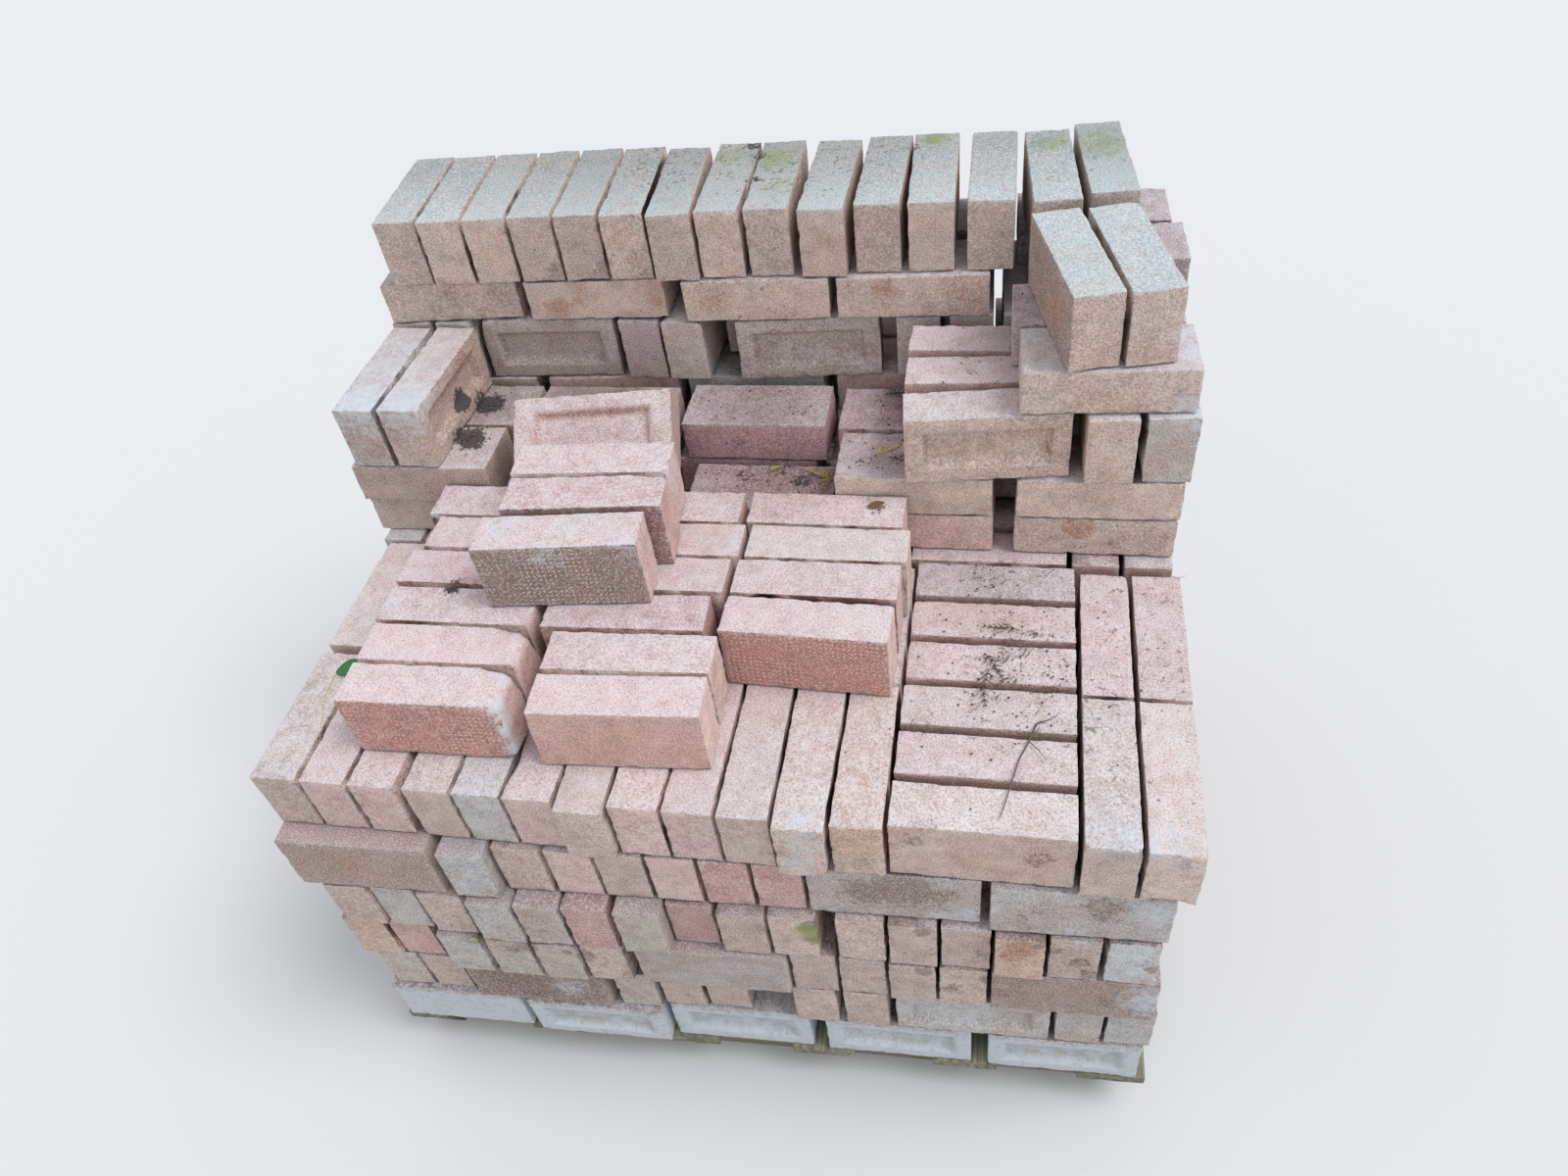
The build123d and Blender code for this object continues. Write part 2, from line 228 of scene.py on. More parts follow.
# Salt over the lowest course, at its front and elsewhere, and the height over which it fades
LOW_SALT = (1.15, 0.65)
LOW_SALT_FADE = 0.03

# Faces of a box as axis and side, the sixth being the bed with the frog
FACE_AXES = [(0, -1), (0, 1), (1, -1), (1, 1), (2, -1), (2, 1)]
BED_UP = 5
BOX_CORNERS = 8

# Rays that find what shows: tilt and number in each ring, and the share that must get away
RAY_RINGS = ((25, 5), (50, 8), (72, 8))
RAY_START = 0.0004
RAY_LENGTH = 3.0
LOWEST_RAY = -0.25
SEEN_SHARE = 0.03
TOWARDS_CAMERA = 0.15

# Wear of a brick: lines of the mesh beside an arris, radius of the arrises and where it widens,
# waves as depth and size, chips as depth, size and where they start, nicks and uneven shrinking
ARRIS_LINES = (0.0009, 0.0026)
ARRIS_RADIUS = (0.0011, 0.0019)
ARRIS_WAVER = (0.45, 0.002, 0.024)
RIM_REACH = 0.005
WAVES = ((0.0006, 0.06), (0.0005, 0.016))
CHIPS = ((0.0024, 0.015, 0.45), (0.004, 0.0075, 0.55))
NICK_COUNT = (2, 6)
NICK_SIZE = (0.003, 0.009)
NICK_DEPTH = (0.15, 0.32)
SHRINK = 0.0007
ON_FROG_FACE = 0.0002
ON_BED = 0.0006
SEEDS = 1 << 20

# Timbers of the pallet: spacing of their mesh along, across and up, and their worn ends
TIMBER_CELL = (0.02, 0.012, 0.009)
TIMBER_RADIUS = 0.003
TIMBER_END = 0.01

# Tones that the layers of the materials bring in, as levels of 0 to 255
# The pale tone for upward faces is dust and painted light from above; the tones for low ledges and frog
# slopes are painted shade
TONES = {
    "smear": (168, 130, 114), "pricks": (230, 216, 206), "burnt": (172, 116, 86),
    "brown": (128, 104, 92), "worn": (222, 214, 208), "nicks": (110, 92, 86),
    "dust_and_top_light": (222, 220, 230), "low_ledge_shade": (142, 122, 128), "shaded_frog_slope": (120, 100, 94),
    "film_front": (178, 202, 206), "film_back": (118, 142, 142), "pits": (104, 86, 80),
    "light_sand": (240, 232, 228), "dark_sand": (126, 106, 102), "speck": (112, 104, 104),
    "salt": (210, 220, 230), "damp": (150, 150, 126), "moss": (136, 150, 84),
    "soil": (72, 68, 66), "dark_wood": (110, 106, 92), "light_wood": (164, 160, 140),
    "green_wood": (114, 122, 94), "crack": (58, 52, 46),
}

# Litter: how far it drops, its tints as levels of 0 to 255, and its sizes
LITTER_DROP = 0.06
CRUMB_TINTS = [(92, 84, 80), (104, 92, 82), (74, 68, 66), (128, 114, 100)]
CRUMB_SIZE = (0.0006, 0.0018)
NEEDLE_TINTS = [(112, 100, 88), (140, 122, 100), (90, 80, 74), (150, 140, 124)]
NEEDLE_LENGTH = (0.008, 0.022)
GREY_TWIG, GREEN, LIME, BROWN = (104, 94, 86), (58, 112, 66), (206, 192, 98), (128, 92, 66)

# Heaps of crumbs: place, height to drop from, spread, crumbs and needles
HEAPS = [
    (0.334, -0.067, 0.76, 0.02, 26, 14), (0.385, -0.18, 0.76, 0.022, 34, 14),
    (0.355, -0.215, 0.76, 0.018, 18, 12), (0.345, -0.255, 0.76, 0.018, 30, 18),
    (0.43, -0.24, 0.76, 0.014, 16, 4), (0.335, -0.3, 0.76, 0.035, 12, 3),
    (0.4, -0.33, 0.76, 0.025, 22, 5), (0.275, -0.34, 0.76, 0.03, 10, 1), (0.495, -0.3, 0.76, 0.05, 8, 1),
    (0.49, -0.13, 0.76, 0.06, 8, 2), (0.55, -0.12, 0.76, 0.06, 6, 2), (0.34, -0.12, 0.76, 0.05, 26, 4),
    (0.35, 0.0, 0.76, 0.05, 20, 3), (0.38, -0.44, 0.76, 0.05, 8, 1), (0.07, 0.068, 0.8, 0.03, 50, 10),
    (-0.01, 0.068, 0.8, 0.04, 40, 6), (0.06, 0.15, 0.86, 0.012, 12, 0), (-0.02, 0.16, 0.86, 0.05, 20, 2),
    (0.2, 0.045, 0.86, 0.025, 20, 12), (0.215, 0.16, 0.86, 0.025, 20, 8),
    (-0.424, 0.16, 0.86, 0.014, 50, 0), (-0.426, 0.08, 0.86, 0.016, 60, 0),
    (-0.361, -0.207, 0.83, 0.007, 50, 4), (0.33, 0.08, 0.96, 0.04, 14, 3), (0.0, 0.24, 0.86, 0.06, 20, 2),
    (0.43, 0.15, 1.04, 0.05, 16, 2), (0.186, -0.044, 0.83, 0.01, 8, 3),
]

# A long twig and its side shoots: thickness, and points above the shelf
TWIGS = [
    (0.0015, [(0.398, -0.318, 0.0028), (0.389, -0.345, 0.0028), (0.377, -0.372, 0.0028),
        (0.369, -0.402, 0.0028), (0.362, -0.43, 0.0028), (0.355, -0.455, 0.0028)]),
    (0.0009, [(0.389, -0.345, 0.003), (0.4, -0.358, 0.005), (0.408, -0.37, 0.003)]),
    (0.0012, [(0.398, -0.318, 0.003), (0.412, -0.312, 0.004), (0.424, -0.303, 0.003)]),
]

# Sprigs: place, direction, length and tint
SPRIGS = [
    (0.335, -0.205, SHELF, 5.2, 0.05, GREY_TWIG), (0.342, -0.232, SHELF, 4.4, 0.06, GREY_TWIG),
    (0.38, -0.165, SHELF, 2.9, 0.045, GREY_TWIG), (0.11, 0.085, 0.781, 4.6, 0.05, LIME),
    (0.112, 0.06, 0.781, 2.6, 0.04, LIME), (0.02, 0.075, 0.781, 0.8, 0.025, LIME),
    (0.185, 0.175, 0.845, 0.2, 0.04, GREEN), (0.18, 0.035, 0.845, 0.5, 0.045, LIME),
]

# Floor as light and as the camera sees it, sky from the horizon up, and the sun
FLOOR_REACH = 14
FLOOR_LIT = (0.5, 0.5, 0.5, 1)
FLOOR_SEEN = (0.72, 0.72, 0.72, 1)
SKY_LOW = (1, 0.99, 0.98, 1)
SKY_HIGH = (0.56, 0.6, 0.67, 1)
SUN_STRENGTH = 1.7
SUN_WIDTH = 28
SUN_FROM = (0.5, -0.08, 0.86)


# Repeatable noise on arrays of points
HASH_STEPS = np.array([374761393, 668265263, 1103515245])
HASH = 1274126177
LOW_BITS = 0xFFFFFFFF


def lattice(cells, seed):
    h = (cells @ HASH_STEPS + seed * HASH) & LOW_BITS
    h = ((h ^ (h >> 13)) * HASH) & LOW_BITS
    h = h ^ (h >> 16)
    return (h & 0xFFFFFF) / float(0xFFFFFF)


def noise(points, size, seed):
    q = points / size
    base = np.floor(q).astype(np.int64)
    f = q - base
    f = f * f * (3 - 2 * f)
    total = 0.0
    for corner in np.ndindex(2, 2, 2):
        share = np.where(corner, f, 1 - f)
        total = total + share[:, 0] * share[:, 1] * share[:, 2] * lattice(base + corner, seed)
    return total


# Bricks read from the CAD nodes
def loose_parts(mesh):
    """The vertices of each separate solid of a CAD node."""
    points = np.array([vertex.co for vertex in mesh.vertices])
    welded, index = np.unique(np.round(points, 5), axis=0, return_inverse=True)
    index = index.reshape(-1)
    parent = list(range(len(welded)))

    def root(i):
        while parent[i] != i:
            parent[i] = parent[parent[i]]
            i = parent[i]
        return i

    for polygon in mesh.polygons:
        first = root(index[polygon.vertices[0]])
        for v in polygon.vertices[1:]:
            parent[root(index[v])] = first
    groups = {}
    for i in range(len(welded)):
        groups.setdefault(root(i), []).append(i)
    return [welded[members] for members in groups.values()]


class Brick:
    """Centre, half size and axes of one brick: rows of turn are its length, width and height directions."""

    def __init__(self, points):
        self.frog = len(points) > BOX_CORNERS
        self.fit(points)
        self.shown = [False] * len(FACE_AXES)
        self.near = False
        self.look = None
        self.shade = 1.0

    def fit(self, points):
        middle = (points.max(axis=0) + points.min(axis=0)) / 2
        far = np.linalg.norm(points - middle, axis=1)
        corners = points[np.argsort(-far)[:BOX_CORNERS]]
        self.centre = corners.mean(axis=0)
        steps = corners[1:] - corners[0]
        sizes = np.linalg.norm(steps, axis=1)
        high = steps[np.argmin(np.abs(sizes - HEIGHT))]
        wide = steps[np.argmin(np.abs(sizes - WIDTH))]
        up = high / np.linalg.norm(high)
        across = wide / np.linalg.norm(wide)
        along = np.cross(across, up)
        length = 2 * np.abs((corners - self.centre) @ along).max()
        if self.frog:
            inner = points[np.argsort(far)[: len(points) - BOX_CORNERS]].mean(axis=0)
            if (inner - self.centre) @ up < 0:
                up, across = -up, -across
        self.turn = np.array([along, across, up])
        self.half = np.array([round(length, 4), WIDTH, HEIGHT]) / 2

    def to_world(self, local):
        return self.centre + local @ self.turn

    def to_local(self, world):
        return (world - self.centre) @ self.turn.T

    def holds(self, place):
        return bool(np.all(np.abs(self.to_local(place)) < self.half + MARK_MARGIN))


# Which faces of a brick can be seen: rays from each face that get away
def spread(normal):
    """Directions over the half sphere around a normal."""
    helper = Vector((0, 0, 1)) if abs(normal.z) < 0.9 else Vector((1, 0, 0))
    side = normal.cross(helper).normalized()
    up = normal.cross(side)
    rays = [normal]
    for tilt, number in RAY_RINGS:
        t = radians(tilt)
        for k in range(number):
            a = 2 * pi * (k + tilt / 90) / number
            outward = side * cos(a) + up * sin(a)
            rays.append((normal * cos(t) + outward * sin(t)).normalized())
    return [ray for ray in rays if ray.z > LOWEST_RAY]


def share_free(brick, axis, sign, tree):
    rays = spread(Vector(brick.turn[axis] * sign))
    others = [a for a in range(3) if a != axis]
    free = total = 0
    for u in (-0.8, -0.3, 0.3, 0.8):
        for v in (-0.75, 0, 0.75):
            local = brick.half.copy()
            local[axis] = sign * (local[axis] + RAY_START)
            local[others] *= (u, v)
            start = Vector(brick.to_world(local))
            total += len(rays)
            free += sum(tree.ray_cast(start, ray, RAY_LENGTH)[0] is None for ray in rays)
    return free / max(total, 1)


def mark_shown(brick, tree, eye):
    towards = (eye - Vector(brick.centre)).normalized()
    for number, (axis, sign) in enumerate(FACE_AXES):
        brick.shown[number] = share_free(brick, axis, sign, tree) > SEEN_SHARE
        if brick.shown[number] and Vector(brick.turn[axis] * sign).dot(towards) > TOWARDS_CAMERA:
            brick.near = True


def front_shows(brick):
    return brick.centre[1] < FRONT_Y and any(
        brick.shown[number] and brick.turn[axis][1] * sign < -0.8
        for number, (axis, sign) in enumerate(FACE_AXES)
    )


# Grid over the surface of a box, fine on the faces that show
def box_surface(axes, full):
    """Points and outward faces of a box cut by lines; a face that is not full is one polygon."""
    found = {}
    points = []
    faces = []

    def vertex(cell):
        if cell not in found:
            found[cell] = len(points)
            points.append([axes[n][cell[n]] for n in range(3)])
        return found[cell]

    for number, (axis, sign) in enumerate(FACE_AXES):
        a, b = [n for n in range(3) if n != axis]
        if (sign > 0) == (axis == 1):
            a, b = b, a
        depth = len(axes[axis]) - 1 if sign > 0 else 0

        def at(p, q):
            cell = [0, 0, 0]
            cell[axis], cell[a], cell[b] = depth, p, q
            return vertex(tuple(cell))

        na, nb = len(axes[a]) - 1, len(axes[b]) - 1
        if full[number]:
            for p in range(na):
                for q in range(nb):
                    faces.append((at(p, q), at(p + 1, q), at(p + 1, q + 1), at(p, q + 1)))
        else:
            ring = [at(p, 0) for p in range(na)] + [at(na, q) for q in range(nb)]
            ring += [at(p, nb) for p in range(na, 0, -1)] + [at(0, q) for q in range(nb, 0, -1)]
            faces.append(tuple(ring))
    return np.array(points), faces


def lines(half, step, extra=()):
    edge = [-half] + [-half + line for line in ARRIS_LINES]
    inside = half - ARRIS_LINES[-1]
    inner = max(1, round(2 * inside / step))
    middle = list(np.linspace(-inside, inside, inner + 1)[1:-1])
    for value in extra:
        middle = [m for m in middle if abs(m - value) > step * 0.4] + [value]
    return np.array(sorted(edge + middle + [-e for e in edge]))


_grids = {}


def grid(step, brick):
    key = (step, brick.frog, tuple(brick.shown), brick.half[0])
    if key not in _grids:
        frog_lines = [[], [], []]
        full = list(brick.shown)
        if brick.frog:
            full[BED_UP] = True
            for axis, a in enumerate(FROG_HALF):
                frog_lines[axis] = [s * v for s in (-1, 1) for v in (a, a - FROG_SLOPE / 2, a - FROG_SLOPE)]
        axes = [lines(brick.half[n], step, frog_lines[n]) for n in range(3)]
        _grids[key] = box_surface(axes, full)
    return _grids[key]


# Shape of one worn brick, always inside the CAD solid
def rounded(flat, half, radius):
    """For points on a box: the core that a rounding starts from, and its direction outwards."""
    core = np.clip(flat, -(half - radius), half - radius)
    out = flat - core
    return core, out / np.maximum(np.linalg.norm(out, axis=1), 1e-9)[:, None]


def near_rim(flat, half):
    """1 on the arrises of a box, fading over a few millimetres."""
    return np.exp(np.sort(np.abs(flat) - half, axis=1)[:, 1] / RIM_REACH)


def bump_over(world, place, reach):
    """1 at a place, falling to 0 at its reach."""
    away = np.linalg.norm(world - place, axis=1) / reach
    return np.clip(1 - away * away, 0, 1)


def frog_sink(flat, half):
    edge = np.minimum(FROG_HALF[0] - np.abs(flat[:, 0]), FROG_HALF[1] - np.abs(flat[:, 1]))
    sink = np.clip(edge / FROG_SLOPE, 0, 1) * FROG_DEPTH
    return np.where(flat[:, 2] > half[2] - ON_FROG_FACE, sink, 0)


def nicked(point, flat, half, rng):
    for _ in range(rng.integers(*NICK_COUNT)):
        axis = rng.integers(0, 3)
        spot = half * rng.choice([-1.0, 1.0], 3)
        spot[axis] *= rng.uniform(-1, 1)
        size = rng.uniform(*NICK_SIZE)
        bite = bump_over(flat, spot, size) * size * rng.uniform(*NICK_DEPTH)
        point = point - bite[:, None] * np.sign(spot) / sqrt(3)
    return point


def drawn_in(point, flat, half, rng):
    """Pulls each side in a little, more at one end, as in bricks that shrank unevenly."""
    place = flat / half
    shrink = np.empty_like(point)
    for axis in range(3):
        others = place[:, [n for n in range(3) if n != axis]]
        tilt = others @ rng.uniform(-0.5, 0.5, 2)
        shrink[:, axis] = SHRINK * (1 + tilt) / half[axis]
    return point * (1 - shrink)


def shaped(brick, flat, rng, seed):
    half = brick.half
    where = flat + rng.uniform(-5, 5, 3)
    world = brick.to_world(flat)
    least, waver, waver_size = ARRIS_WAVER
    radius = rng.uniform(*ARRIS_RADIUS) + waver * np.maximum(noise(where, waver_size, seed) - least, 0)
    for *place, reach, extra in BLUNT:
        if brick.holds(place):
            radius = radius + extra * bump_over(world, place, reach)
    radius = radius[:, None]
    core, normal = rounded(flat, half, radius)
    rim = near_rim(flat, half)
    inward = 0.0
    for number, (depth, size) in enumerate(WAVES, 1):
        inward = inward + depth * noise(where, size, seed + number)
    for number, (depth, size, least) in enumerate(CHIPS, 1 + len(WAVES)):
        inward = inward + rim * depth * np.maximum(noise(where, size, seed + number) - least, 0)
    point = core + normal * (radius - inward[:, None])
    if brick.frog:
        point[:, 2] -= frog_sink(flat, half)
    return drawn_in(nicked(point, flat, half, rng), flat, half, rng)


# Looks of one brick at each vertex
def patches(world, marks):
    total = np.zeros(len(world))
    for *place, size, strength in marks:
        away = np.linalg.norm(world - place, axis=1) / size
        total = np.maximum(total, strength * np.clip(MARK_PEAK - away, 0, 1))
    return total


def own_patches(brick, world, marks):
    return patches(world, [mark for mark in marks if brick.holds(mark[:3])])


def salted(world):
    """Marks of salt, and a white film over the lowest course."""
    film = np.where(world[:, 1] < FRONT_Y, *LOW_SALT)
    low = np.clip((LOWEST_COURSE + 0.01 - world[:, 2]) / LOW_SALT_FADE, 0, 1)
    return np.maximum(patches(world, SALT), film * low)


def looks(brick, flat, world, rng):
    side, bed_letter, pricked = brick.look
    bed = np.abs(flat[:, 2]) > brick.half[2] - ON_BED
    shade = rng.uniform(*SHADES) * brick.shade
    tints = []
    for sides, beds in zip(PALETTE[side], PALETTE[bed_letter]):
        tints.append(np.where(bed[:, None], srgb(*beds), srgb(*sides)) * shade)
    rim = near_rim(flat, brick.half)
    sink = frog_sink(flat, brick.half) / FROG_DEPTH if brick.frog else np.zeros(len(flat))
    # The fourth growth column darkens upward faces: painted shade in the pit, dirt elsewhere
    growth = [patches(world, MOSS), salted(world), patches(world, SOIL), patches(world, PIT_SHADE_AND_DIRT)]
    clay = [own_patches(brick, world, RUST), own_patches(brick, world, STAIN), sink, patches(world, SPOTS)]
    return {
        "tint": np.column_stack([tints[0], rim]),
        "tint_b": np.column_stack([tints[1], bed * (1.0 if pricked else 0.5)]),
        "growth": np.column_stack(growth),
        "clay": np.column_stack(clay),
    }


def give_looks(bricks, words):
    for brick, word in zip(sorted(bricks, key=lambda brick: brick.centre[0]), words.split()):
        letters = word.rstrip("*+-")
        bed = letters[1] if len(letters) > 1 else BED_OF[letters[0]]
        brick.look = (letters[0], bed, "*" in word)
        brick.shade = SHADE_STEP ** (word.count("+") - word.count("-"))


def placed(name, data):
    """A mesh, light or camera put into the scene."""
    made = bpy.data.objects.new(name, data)
    bpy.context.scene.collection.objects.link(made)
    return made


class Gathered:
    """Meshes gathered into one smooth piece, with named vectors or colours at their vertices."""

    def __init__(self):
        self.points = []
        self.faces = []
        self.layers = {}
        self.count = 0

    def add(self, points, faces, layers):
        self.points.append(points)
        self.faces += [tuple(v + self.count for v in face) for face in faces]
        self.count += len(points)
        for key, rows in layers.items():
            self.layers.setdefault(key, []).append(rows)

    def piece(self, name):
        mesh = bpy.data.meshes.new(name)
        mesh.from_pydata(np.vstack(self.points).tolist(), [], self.faces)
        mesh.polygons.foreach_set("use_smooth", [True] * len(mesh.polygons))
        for key, parts in self.layers.items():
            rows = np.vstack(parts)
            kind, field = ("FLOAT_VECTOR", "vector") if rows.shape[1] == 3 else ("FLOAT_COLOR", "color")
            mesh.attributes.new(key, kind, "POINT").data.foreach_set(field, rows.ravel())
        mesh.update()
        return placed(name, mesh)


def brick_piece(node, bricks, rng):
    gathered = Gathered()
    for brick in bricks:
        seed = int(rng.integers(0, SEEDS))
        step = FINE_STEP if brick.near else PLAIN_STEP
        if not any(brick.shown):
            step = HIDDEN_STEP
        flat, faces = grid(step, brick)
        world = brick.to_world(shaped(brick, flat, rng, seed))
        layers = looks(brick, flat, world, rng)
        layers["loc"] = flat + rng.uniform(-3, 3, 3)
        gathered.add(world, faces, layers)
    return gathered.piece(node + "_bricks")


# Pallet timbers, sawn edges worn round
def timber_piece(name, node, along, rng):
    gathered = Gathered()
    for part in loose_parts(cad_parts[node].data):
        low, high = part.min(axis=0), part.max(axis=0)
        half = (high - low)[[along, 1 - along, 2]] / 2
        axes = []
        for h, cell in zip(half, TIMBER_CELL):
            values = np.linspace(-h, h, max(3, int(2 * h / cell)) + 1)
            values[1], values[-2] = -h + TIMBER_RADIUS, h - TIMBER_RADIUS
            axes.append(values)
        flat, faces = box_surface(axes, [True] * len(FACE_AXES))
        core, normal = rounded(flat, half, TIMBER_RADIUS)
        seed = int(rng.integers(0, SEEDS))
        grain = flat * np.array([0.12, 1.0, 1.0])
        inward = 0.0012 * noise(grain + 3, 0.012, seed) + 0.0012 * noise(flat + 3, 0.06, seed + 1)
        ends = np.exp((np.abs(flat[:, 0]) - half[0]) / TIMBER_END)
        inward = inward + ends * 0.003 * noise(flat * np.array([0.3, 1, 1]) + 5, 0.009, seed + 2)
        shape = core + normal * (TIMBER_RADIUS - inward)[:, None]
        if along == 1:
            shape = np.column_stack([-shape[:, 1], shape[:, 0], shape[:, 2]])
        gathered.add(shape + (low + high) / 2, faces, {"loc": flat + rng.uniform(-3, 3, 3)})
    return gathered.piece(name)


# Crumbs, needles, twigs and leaves that lie on the bricks
class Litter:
    def __init__(self, tree, rng):
        self.tree = tree
        self.rng = rng
        self.gathered = Gathered()

    def ground(self, x, y, below):
        """The highest brick under a point, or None where there is none near it."""
        hit = self.tree.ray_cast(Vector((x, y, below)), Vector((0, 0, -1)), LITTER_DROP)
        return None if hit[0] is None or hit[1].z < 0.7 else hit[0].z

    def add(self, points, faces, colour):
        shade = self.rng.uniform(0.75, 1.25)
        points = np.array(points)
        tint = np.tile((*(c * shade for c in srgb(*colour)), 1.0), (len(points), 1))
        self.gathered.add(points, faces, {"tint": tint, "loc": points})

    def crumb(self, x, y, z, size, colour):
        """A lump with an uneven outline: two rings between two poles."""
        ring = 6
        points = [(x, y, z + size * 0.75)]
        for height, wide in ((0.42, 0.9), (0.0, 1.0)):
            for k in range(ring):
                a = 2 * pi * (k + height) / ring
                reach = size * wide * self.rng.uniform(0.65, 1.15)
                points.append((x + reach * cos(a), y + reach * sin(a), z + size * height))
        points.append((x, y, z - 0.0004))
        faces = []
        for k in range(ring):
            n = (k + 1) % ring
            faces += [(0, 1 + k, 1 + n), (1 + k, 7 + k, 7 + n, 1 + n), (13, 7 + n, 7 + k)]
        self.add(points, faces, colour)

    def stalk(self, path, thick, colour):
        """A thin three sided stalk along a path, pointed at its far end."""
        points = []
        for number, place in enumerate(path):
            ahead = np.array(path[min(number + 1, len(path) - 1)]) - np.array(path[max(number - 1, 0)])
            ahead = ahead / np.linalg.norm(ahead)
            side = np.cross(ahead, (0, 0, 1))
            side = side / max(np.linalg.norm(side), 1e-6)
            over = np.cross(side, ahead)
            r = thick * (1 - 0.6 * number / (len(path) - 1))
            for a in (0.5, 2.6, 4.7):
                points.append(np.array(place) + r * (side * cos(a) + over * sin(a)))
        faces = [(2, 1, 0)]
        for k in range(len(path) - 1):
            for j in range(3):
                n = (j + 1) % 3
                faces.append((3 * k + j, 3 * k + n, 3 * k + 3 + n, 3 * k + 3 + j))
        last = 3 * len(path) - 3
        faces.append((last, last + 1, last + 2))
        self.add(points, faces, colour)

    def leaf(self, place, along, length, width, lift, colour):
        """A thin closed leaf, folded a little along its middle."""
        along = np.array(along) / np.linalg.norm(along)
        side = np.cross((0, 0, 1), along)
        side = side / np.linalg.norm(side)
        rows = 8
        points = []
        for layer in (0.0, -0.0005):
            for k in range(rows + 1):
                t = k / rows
                wide = width * sin(pi * min(t * 0.94 + 0.03, 1)) ** 0.8
                for s in (-1, -0.5, 0, 0.5, 1):
                    fold = 0.3 * abs(s) * wide + lift * t * t
                    spot = np.array(place) + along * length * t + side * s * wide
                    points.append(spot + np.array((0, 0, fold + layer)))
        faces = []
        half = 5 * (rows + 1)
        for k in range(rows):
            for a in range(5 * k, 5 * k + 4):
                faces.append((a, a + 5, a + 6, a + 1))
                faces.append((half + a, half + a + 1, half + a + 6, half + a + 5))
            for a in (5 * k, 5 * k + 4):
                rim = (a, half + a, half + a + 5, a + 5)
                faces.append(rim if a == 5 * k else rim[::-1])
        for k in (0, rows):
            for a in range(5 * k, 5 * k + 4):
                rim = (a, a + 1, half + a + 1, half + a)
                faces.append(rim if k == 0 else rim[::-1])
        self.add(points, faces, colour)

    def one_of(self, tints):
        return tints[int(self.rng.integers(0, len(tints)))]

    def scatter(self, x, y, below, reach, crumbs, needles):
        for number in range(crumbs + needles):
            px, py = x + self.rng.normal(0, reach), y + self.rng.normal(0, reach)
            z = self.ground(px, py, below)
            if z is None:
                continue
            if number < crumbs:
                colour = self.one_of(CRUMB_TINTS)
                self.crumb(px, py, z, self.rng.uniform(*CRUMB_SIZE), colour)
            else:
                self.needle(px, py, z, self.rng.uniform(*NEEDLE_LENGTH))

    def needle(self, x, y, z, length):
        a = self.rng.uniform(0, 2 * pi)
        bend = self.rng.uniform(-1.5, 1.5)
        path = []
        for k in range(5):
            path.append((x, y, z + 0.0008 + self.rng.uniform(0, 0.0015)))
            x += cos(a) * length / 4
            y += sin(a) * length / 4
            a += bend / 4
        self.stalk(path, 0.0006, self.one_of(NEEDLE_TINTS))

    def sprig(self, x, y, z, angle, length, colour):
        """A cypress twig with short scaly side shoots."""
        step = length / 6
        path = []
        for k in range(7):
            path.append((x, y, z + 0.002 + 0.002 * sin(k)))
            x += cos(angle) * step
            y += sin(angle) * step
            angle += self.rng.uniform(-0.15, 0.15)
        self.stalk(path, 0.0009, colour)
        for k in range(1, 7):
            start = path[k]
            for turn in (-0.7, 0.7):
                reach = length * 0.3 * (1.1 - k / 7)
                a = angle + turn + self.rng.uniform(-0.2, 0.2)
                tip = (start[0] + reach * cos(a), start[1] + reach * sin(a), start[2] + 0.002)
                middle = tuple((p + q) / 2 + d for p, q, d in zip(start, tip, (0, 0, 0.001)))
                self.stalk([start, middle, tip], 0.0012, colour)

    def on_shelf(self, path, thick, colour):
        self.stalk([(x, y, SHELF + z) for x, y, z in path], thick, colour)


def lay_litter(tree, rng):
    litter = Litter(tree, rng)
    for heap in HEAPS:
        litter.scatter(*heap)
    for thick, path in TWIGS:
        litter.on_shelf(path, thick, GREY_TWIG)
    for sprig in SPRIGS:
        litter.sprig(*sprig)
    litter.leaf((-0.54, -0.276, SHELF + 0.001), (1.0, 0.35, 0), 0.042, 0.014, 0.004, GREEN)
    litter.on_shelf([(-0.54, -0.28, 0.001), (-0.535, -0.32, 0.003), (-0.52, -0.37, 0.001)], 0.0008, LIME)
    litter.leaf((0.176, -0.04, 0.8195), (1.0, 0.2, 0), 0.024, 0.006, 0.003, BROWN)
    return litter.gathered.piece("dry_litter")


